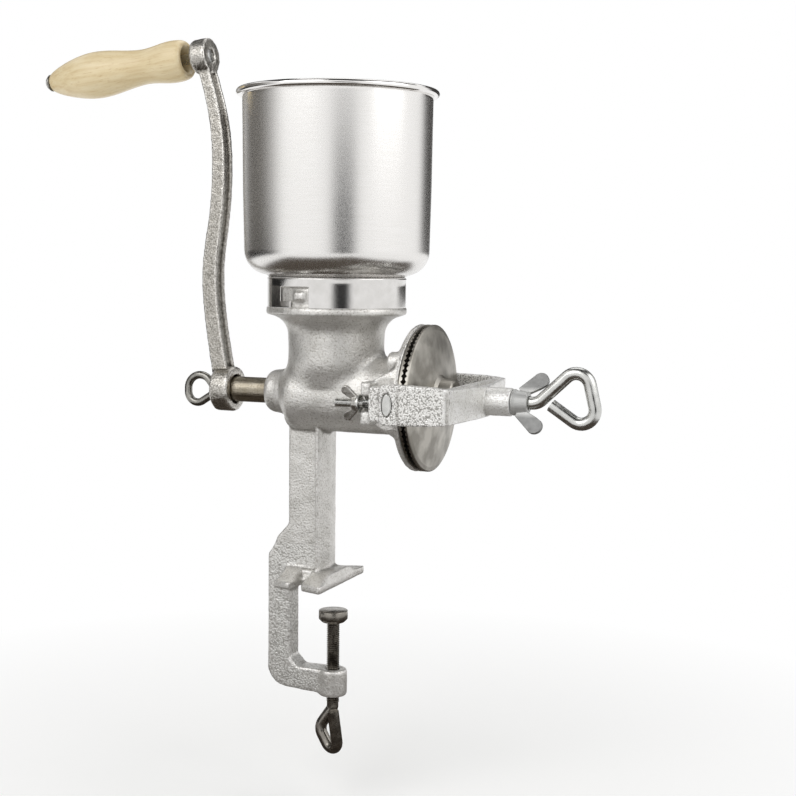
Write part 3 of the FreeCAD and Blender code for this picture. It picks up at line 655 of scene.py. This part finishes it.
wingNuts = {
    "adjustingWingNut": {"node": "adjusting_wing_nut", "body": "lock_nut", "slot": "die_cast_zinc",
                         "material": dieZinc},
    "nearWingNut": {"node": "near_wing_nut", "body": "near_nut", "slot": "zinc_plated_steel",
                    "material": wornZinc},
    "farWingNut": {"node": "far_wing_nut", "body": "far_nut", "slot": "zinc_plated_steel",
                   "material": wornZinc},
}
nutCast = {"voxel": 0.3, "rounds": 4, "wave": 0.05, "waveSize": 3.0}
for name, plan in wingNuts.items():
    piece = castCopy(plan["node"], name, nutCast)
    finishPiece(piece, plan["material"], plan["body"], plan["node"], smooth=60)
print("wing nuts cast")


# Hopper bowl: spun sheet with a rolled rim

bowl = {
    "radius": 70.0, "waist": 69.4, "waistHeight": 150, "sheet": 0.8, "bottom": 87.0, "top": 223.5,
    "neck": 50.2, "neckDrop": 4,      # the neck goes down inside the collar
    "corner": {"middle": 50.4, "up": 19.5, "radius": 18.1, "from": -82, "to": 0, "steps": 16},
    "rim": {"out": 2.1, "down": 2.6, "radius": 2.5, "from": 214, "to": 532, "steps": 22},
    "outerEnd": 5.4, "innerEnd": 6.5,      # how far below the top the wall's two faces run into the rim
    "innerLift": 0.4,                      # the inside of the corner is raised by this share of the sheet
    "steps": 192,
}


# Section of the sheet as radius and height, turned round to height and radius at the end
def bowlProfile():
    neck, bottom, top, sheet = bowl["neck"], bowl["bottom"], bowl["top"], bowl["sheet"]
    bend, roll = bowl["corner"], bowl["rim"]
    bendCentre = (bend["middle"], bottom + bend["up"])
    corner = arc(bendCentre, bend["radius"], bend["from"], bend["to"], bend["steps"])
    outside = [(neck, bottom - bowl["neckDrop"]), (neck, bottom)]
    outside += corner + [(bowl["waist"], bowl["waistHeight"]), (bowl["radius"], top - bowl["outerEnd"])]
    rimCentre = (bowl["radius"] + roll["out"], top - roll["down"])
    bead = arc(rimCentre, roll["radius"], roll["from"], roll["to"], roll["steps"])
    inside = [(bowl["radius"] - sheet, top - bowl["innerEnd"]), (bowl["waist"] - sheet, bowl["waistHeight"])]
    inside += [(r - sheet, z + sheet * bowl["innerLift"]) for r, z in reversed(corner)]
    inside += [(neck - sheet, bottom + sheet), (neck - sheet, bottom - bowl["neckDrop"])]
    return [(z, r) for r, z in outside + bead + inside]


bowlPiece = turnedPiece("hopperBowl", bowlProfile(), at(0, 0, 0), Vector((0, 0, 1)), Vector((1, 0, 0)),
                        bowl["steps"])
finishPiece(bowlPiece, satinSteel, "hopper", "hopper_bowl", smooth=40)
print("bowl spun")


# Hopper collar with its bayonet slot

collar = {
    "radius": 51.4, "low": 64.9, "hem": 0.6, "sheet": 0.8, "steps": 360,
    "lip": [(84.6, 51.4), (85.4, 51.7), (86.2, 51.7), (86.8, 51.2), (87.0, 50.4)],      # height and radius
    "inset": 0.01,                              # keeps the sheet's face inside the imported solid's size
    "legBottom": 69.8, "slotTop": 80.2,
    "entry": (-16, 1), "leg": (-28, -15),       # slot edges in degrees from the front towards +X
    "edge": 0.25, "edgeSegments": 2, "sharp": 50,
}


def collarPiece():
    low, legBottom, slotTop = collar["low"], collar["legBottom"], collar["slotTop"]
    rows = [(z, collar["radius"]) for z in (low, low + collar["hem"], legBottom, slotTop)] + collar["lip"]
    profile = [(z, r - collar["inset"]) for z, r in rows]
    piece = turnedPiece("hopperCollar", profile, at(0, 0, 0), Vector((0, 0, 1)), Vector((0, -1, 0)),
                        collar["steps"], closed=False)
    editMode(True, "FACE")
    bpy.ops.mesh.select_all(action="DESELECT")
    editMode(False)
    for face in piece.data.polygons:
        centre = face.center
        turn = math.degrees(math.atan2(centre.x, -centre.y))
        height = (centre.z - shaftHeight) / mm
        inEntry = collar["entry"][0] < turn < collar["entry"][1] and height < slotTop
        inLeg = collar["leg"][0] < turn < collar["leg"][1] and legBottom < height < slotTop
        face.select = inEntry or inLeg
    editMode(True, "FACE")
    bpy.ops.mesh.delete(type="FACE")
    editMode(False)
    wall = piece.modifiers.new("wall", "SOLIDIFY")
    wall.thickness = collar["sheet"] * mm
    wall.offset = -1.0
    edge = piece.modifiers.new("edge", "BEVEL")
    edge.width = collar["edge"] * mm
    edge.segments = collar["edgeSegments"]
    edge.limit_method = "ANGLE"
    edge.angle_limit = math.radians(collar["sharp"])
    applyModifiers(piece)
    return piece


finishPiece(collarPiece(), mirrorSteel, "hopper", "hopper_collar", smooth=40)
print("collar pressed")


# Wooden grip, turned. Its stations are distance from the crank and radius.

grip = {
    "stations": [(20.9, 12.2), (21.1, 12.9), (22.0, 14.2), (23.6, 15.0), (27, 15.6), (33, 15.9), (39, 15.5),
                 (47, 14.2), (55, 13.2), (61, 13.2), (68, 13.9), (76, 15.0), (87, 16.9), (98, 18.0),
                 (106, 17.8), (113, 16.9), (120, 15.5), (128, 13.4), (135, 11.0), (139.5, 9.1), (142.4, 7.4),
                 (143.6, 6.2), (143.8, 5.4)],
    "bore": 4.15, "steps": 96,
}
gripEnds = grip["stations"][0][0], grip["stations"][-1][0]
gripProfile = [(gripEnds[0], grip["bore"])] + grip["stations"] + [(gripEnds[1], grip["bore"])]
gripPiece = turnedPiece("woodenGrip", gripProfile, handleStart, handleAlong, handleUp, grip["steps"])
smoothing = gripPiece.modifiers.new("smooth", "SUBSURF")
smoothing.levels = 1
smoothing.render_levels = 1
applyModifiers(gripPiece)
finishPiece(gripPiece, paleWood, "grip", "wooden_handle", smooth=40)
print("grip turned")


# Screws: bent rods with cut threads. Corners and place are in millimetres from the shaft axis.

screws = {
    "adjustingScrew": {
        "node": "adjusting_screw", "body": "adjuster", "material": zincSteel,
        "corners": [(151, 0, 0), (156.5, 0, 0), (190, 0, 31.4), (203.6, 0, -25.4), (166.2, 0, -0.8)],
        "bends": [10, 10, 10], "rod": 4.65,
        "place": (0, 0, 0), "along": (1, 0, 0), "thread": (98.8, 151.6), "major": 4.9, "pitch": 1.5},
    "crankEyeScrew": {
        "node": "crank_eye_screw", "body": "crank_eye", "material": dullZinc,
        "corners": [(-101, 0, 0), (-103, 0, 0), (-126, 0, 30), (-126, 0, -18.5), (-106.3, 0, -6)],
        "bends": [3.7, 10.5, 8], "rod": 3.0,
        "place": (0, 0, 0), "along": (1, 0, 0), "thread": (-101.4, -82.5), "major": 2.8, "pitch": 1.0},
    "clampScrew": {
        "node": "clamp_screw", "body": "clamp", "material": oiledSteelInShade,
        "corners": [(-1.0, 0, -235), (-1.0, 0, -241), (-11.8, -1.5, -257), (8.6, -6, -287),
                    (3.6, -9.7, -240.6)],
        "bends": [6, 9, 6.2], "rod": 4.4,
        "place": (-1.0, 0, 0), "along": (0, 0, 1), "thread": (-236, -168), "major": 4.9, "pitch": 1.5},
}
threadSteps = 40

for name, plan in screws.items():
    rod = bentRod("rod", [at(*corner) for corner in plan["corners"]], plan["bends"], plan["rod"])
    thread = threadedRod("thread", *plan["thread"], plan["major"], plan["pitch"], threadSteps)
    layAlong(thread, at(*plan["place"]), Vector(plan["along"]))
    finishPiece(joinPieces([rod, thread], name), plan["material"], plan["body"],
                plan["node"], smooth=35)
print("screws bent and threaded")


# Yoke bolts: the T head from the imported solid, with a threaded shank

yokeBolts = {
    "nearYokeBolt": {"node": "near_yoke_bolt", "side": -1},
    "farYokeBolt": {"node": "far_yoke_bolt", "side": 1},
}
bolt = {"headFrom": 48, "across": 59.4, "thread": (26.7, 48.2), "major": 3.0, "pitch": 1.0, "steps": 32}

for name, plan in yokeBolts.items():
    head = copyOfNode(plan["node"], "head")
    makeActive(head)
    editMode(True)
    bpy.ops.mesh.select_all(action="SELECT")
    bpy.ops.mesh.bisect(plane_co=at(bolt["headFrom"], 0, 0), plane_no=(1, 0, 0), use_fill=True,
                        clear_inner=True)
    editMode(False)
    thread = threadedRod("thread", *bolt["thread"], bolt["major"], bolt["pitch"], bolt["steps"])
    layAlong(thread, at(0, plan["side"] * bolt["across"], 0), Vector((1, 0, 0)))
    finishPiece(joinPieces([head, thread], name), zincSteel, "root", plan["node"],
                smooth=35)
print("yoke bolts threaded")


# Small parts with their edges eased: node, body, width of the easing and material

smallParts = {
    "nearWasher": ("near_washer", "near_washer", 0.25, zincSteel),
    "farWasher": ("far_washer", "far_washer", 0.25, zincSteel),
    "crankWasher": ("crank_washer", "crank_washer", 0.25, dullZinc),
    "handleEndWasher": ("handle_end_washer", "shaft", 0.3, dullZinc),
    "clampPad": ("clamp_pad", "pad", 0.5, oiledSteelInShade),
    "handleSpindle": ("handle_spindle", "shaft", 0.3, zincSteel),
}
for name, (node, body, width, material) in smallParts.items():
    finishPiece(beveledCopy(node, name, width), material, body, node, smooth=35)
print("small parts eased")


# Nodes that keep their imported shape

kept = {"fixed_grinding_plate": plateIron, "rotating_grinding_plate": plateIron, "auger_shaft": shaftIron,
        "plate_screws": zincSteel, "drive_pin": zincSteel, "thrust_ball": ballSteel}
for node, material in kept.items():
    nodes[node].data.materials.clear()
    nodes[node].data.materials.append(material)
    makeActive(nodes[node])
    bpy.ops.object.shade_smooth_by_angle(angle=math.radians(30))
print("kept nodes finished")


# Camera as the object was photographed

camera = {"place": (0.4371, -0.9756, 0.2448), "forward": (-0.3672, 0.9252, -0.0956), "roll": 0.65,
          "lens": 64.83, "sensor": 36.0}


def photoCamera():
    data = bpy.data.cameras.new("photoCamera")
    data.lens = camera["lens"]
    data.sensor_width = camera["sensor"]
    piece = bpy.data.objects.new("photoCamera", data)
    bpy.context.scene.collection.objects.link(piece)
    ahead = Vector(camera["forward"]).normalized()
    right = ahead.cross(Vector((0, 0, 1))).normalized()
    up = right.cross(ahead)
    roll = math.radians(camera["roll"])
    tilted = right * math.cos(roll) + up * math.sin(roll)
    upright = tilted.cross(ahead)
    turn = Matrix((tilted, upright, -ahead)).transposed().to_4x4()
    piece.matrix_world = Matrix.Translation(Vector(camera["place"])) @ turn
    bpy.context.scene.camera = piece


# Studio: pale floor, white surroundings, soft lamps and dark cards that only reflections see

studio = {
    "middle": (0, 0, 0.22), "worldForDiffuse": 0.62,
    "floor": {"size": 3.0, "shade": "#FAFAF9", "whiteFrom": 0.16, "whiteTo": 0.62,
              "drop": 37.0},      # millimetres below the object: room for the clamp screw to come down
    "lamps": {
        "keyLamp": {"azimuth": -46, "elevation": 38, "distance": 1.7, "size": 1.3, "watts": 9.0},
        "fillLamp": {"azimuth": 62, "elevation": 32, "distance": 1.6, "size": 1.2, "watts": 6.0},
        "topLamp": {"azimuth": 165, "elevation": 62, "distance": 1.5, "size": 1.1, "watts": 5.0}},
    "cards": {      # low and high are heights in metres, soft is how far in from each side a card fades
        "frontCard": {"azimuth": 7.5, "distance": 1.5, "wide": 1.1, "low": -0.13, "high": 0.40,
                      "shade": "#0E0E10", "soft": 0.36},
        "leftCard": {"azimuth": -114, "distance": 1.4, "wide": 3.2, "low": -0.13, "high": 1.3,
                     "shade": "#716E6A", "soft": 0.44},
        "lowLeftCard": {"azimuth": -112, "distance": 1.3, "wide": 2.4, "low": -0.13, "high": 0.20,
                        "shade": "#191817", "soft": 0.3},
        "rightCard": {"azimuth": 143, "distance": 1.4, "wide": 1.7, "low": 0.17, "high": 1.2,
                      "shade": "#3A3836", "soft": 0.34},
        "backCard": {"azimuth": 180, "distance": 1.6, "wide": 2.2, "low": 0.50, "high": 1.9,
                     "shade": "#333231", "soft": 0.15}},
    "flatCards": {
        "tableCard": {"size": 1.3, "aboveFloor": 0.5 * mm, "shade": "#4C443C", "soft": 0.1},
        "ceilingCard": {"size": 3.4, "height": 1.9, "shade": "#2A2928", "soft": 0.1}},
}
middle = Vector(studio["middle"])
cameraAzimuth = math.degrees(math.atan2(camera["place"][0], -camera["place"][1]))


# Azimuths are counted from the camera
def roundObject(azimuth, elevation, distance):
    a = math.radians(cameraAzimuth + azimuth)
    e = math.radians(elevation)
    return middle + Vector((math.sin(a) * math.cos(e), -math.cos(a) * math.cos(e), math.sin(e))) * distance


def facing(place):
    return (middle - place).to_track_quat("-Z", "Y").to_euler()


# White where a camera, a reflection or glass sees it, and dimmer as light on the object
def studioWorld():
    world = bpy.data.worlds.new("studio")
    bpy.context.scene.world = world
    world.use_nodes = True
    tree = world.node_tree
    tree.nodes.clear()
    path = addNode(tree, "ShaderNodeLightPath")
    seen = addNode(tree, "ShaderNodeMath", None,
                   {0: path.outputs["Is Camera Ray"], 1: path.outputs["Is Glossy Ray"]}, operation="MAXIMUM")
    seenToo = addNode(tree, "ShaderNodeMath", None,
                      {0: seen.outputs[0], 1: path.outputs["Is Transmission Ray"]}, operation="MAXIMUM")
    strength = addNode(tree, "ShaderNodeMapRange", {"To Min": studio["worldForDiffuse"], "To Max": 1.0},
                       {"Value": seenToo.outputs[0]})
    light = addNode(tree, "ShaderNodeBackground", {"Color": linear("#FFFFFF")},
                    {"Strength": strength.outputs[0]})
    addNode(tree, "ShaderNodeOutputWorld", links={"Surface": light.outputs[0]})


# Puts another surface between the shader and the material's output
def showSurface(tree, surface):
    output = next(n for n in tree.nodes if n.type == "OUTPUT_MATERIAL")
    tree.links.new(surface, output.inputs["Surface"])


# Matte and pale below the object, for its shadow, and pure white further out
def paleFloor(look):
    material, tree, shader, place = newMaterial("paleFloor", metallic=0.0, roughness=0.9)
    shader.inputs["Base Color"].default_value = linear(look["shade"])
    path = addNode(tree, "ShaderNodeLightPath")
    reach = addNode(tree, "ShaderNodeVectorMath", None, {0: place}, operation="LENGTH")
    fade = addNode(tree, "ShaderNodeMapRange", {"From Min": look["whiteFrom"], "From Max": look["whiteTo"]},
                   {"Value": reach.outputs["Value"]})
    seen = addNode(tree, "ShaderNodeMath", None,
                   {0: path.outputs["Is Camera Ray"], 1: path.outputs["Is Glossy Ray"]}, operation="MAXIMUM")
    both = addNode(tree, "ShaderNodeMath", None, {0: fade.outputs[0], 1: seen.outputs[0]},
                   operation="MULTIPLY")
    white = addNode(tree, "ShaderNodeEmission", {"Color": linear("#FFFFFF"), "Strength": 1.0})
    mixed = addNode(tree, "ShaderNodeMixShader", None,
                    {0: both.outputs[0], 1: shader.outputs[0], 2: white.outputs[0]})
    showSurface(tree, mixed.outputs[0])
    return material


# Card that only reflections see, fading out towards its two sides
def addCard(name, place, turn, wide, high, look):
    bpy.ops.object.select_all(action="DESELECT")
    bpy.ops.mesh.primitive_plane_add(size=1.0, location=place, rotation=turn)
    card = bpy.context.active_object
    card.name = name
    card.scale = (wide, high, 1)
    matte, tree, shader, across = newMaterial(name, metallic=0.0, roughness=0.9)
    shader.inputs["Base Color"].default_value = linear(look["shade"])
    split = addNode(tree, "ShaderNodeSeparateXYZ", links={"Vector": across})
    side = addNode(tree, "ShaderNodeMath", None, {0: split.outputs["X"]}, operation="ABSOLUTE")
    edge = 0.5      # half of the plane's own width
    solid = addNode(tree, "ShaderNodeMapRange", {"From Min": edge, "From Max": edge - look["soft"]},
                    {"Value": side.outputs[0]}, interpolation_type="SMOOTHSTEP")
    clear = addNode(tree, "ShaderNodeBsdfTransparent")
    faded = addNode(tree, "ShaderNodeMixShader", None,
                    {0: solid.outputs[0], 1: clear.outputs[0], 2: shader.outputs[0]})
    showSurface(tree, faded.outputs[0])
    card.data.materials.append(matte)
    card.visible_camera = False
    card.visible_diffuse = False
    card.visible_shadow = False


def buildStudio():
    lowest = cadBox[0].z - studio["floor"]["drop"] * mm
    bpy.ops.object.select_all(action="DESELECT")
    bpy.ops.mesh.primitive_plane_add(size=studio["floor"]["size"], location=(0, 0, lowest))
    floor = bpy.context.active_object
    floor.name = "floor"
    floor.data.materials.append(paleFloor(studio["floor"]))
    for name, plan in studio["cards"].items():
        spot = roundObject(plan["azimuth"], 0, plan["distance"])
        spot.z = (plan["low"] + plan["high"]) / 2
        turn = (math.pi / 2, 0, math.atan2(spot.x, -spot.y))
        addCard(name, spot, turn, plan["wide"], plan["high"] - plan["low"], plan)
    for name, plan in studio["flatCards"].items():
        height = plan["height"] if "height" in plan else lowest + plan["aboveFloor"]
        addCard(name, Vector((0, 0, height)), (0, 0, 0), plan["size"], plan["size"], plan)
    for name, plan in studio["lamps"].items():
        data = bpy.data.lights.new(name, "AREA")
        data.shape = "SQUARE"
        data.size = plan["size"]
        data.energy = plan["watts"]
        lamp = bpy.data.objects.new(name, data)
        bpy.context.scene.collection.objects.link(lamp)
        lamp.location = roundObject(plan["azimuth"], plan["elevation"], plan["distance"])
        lamp.rotation_euler = facing(lamp.location)


photoCamera()
studioWorld()
buildStudio()
bpy.context.scene.view_settings.view_transform = "Standard"
print("camera and studio set")
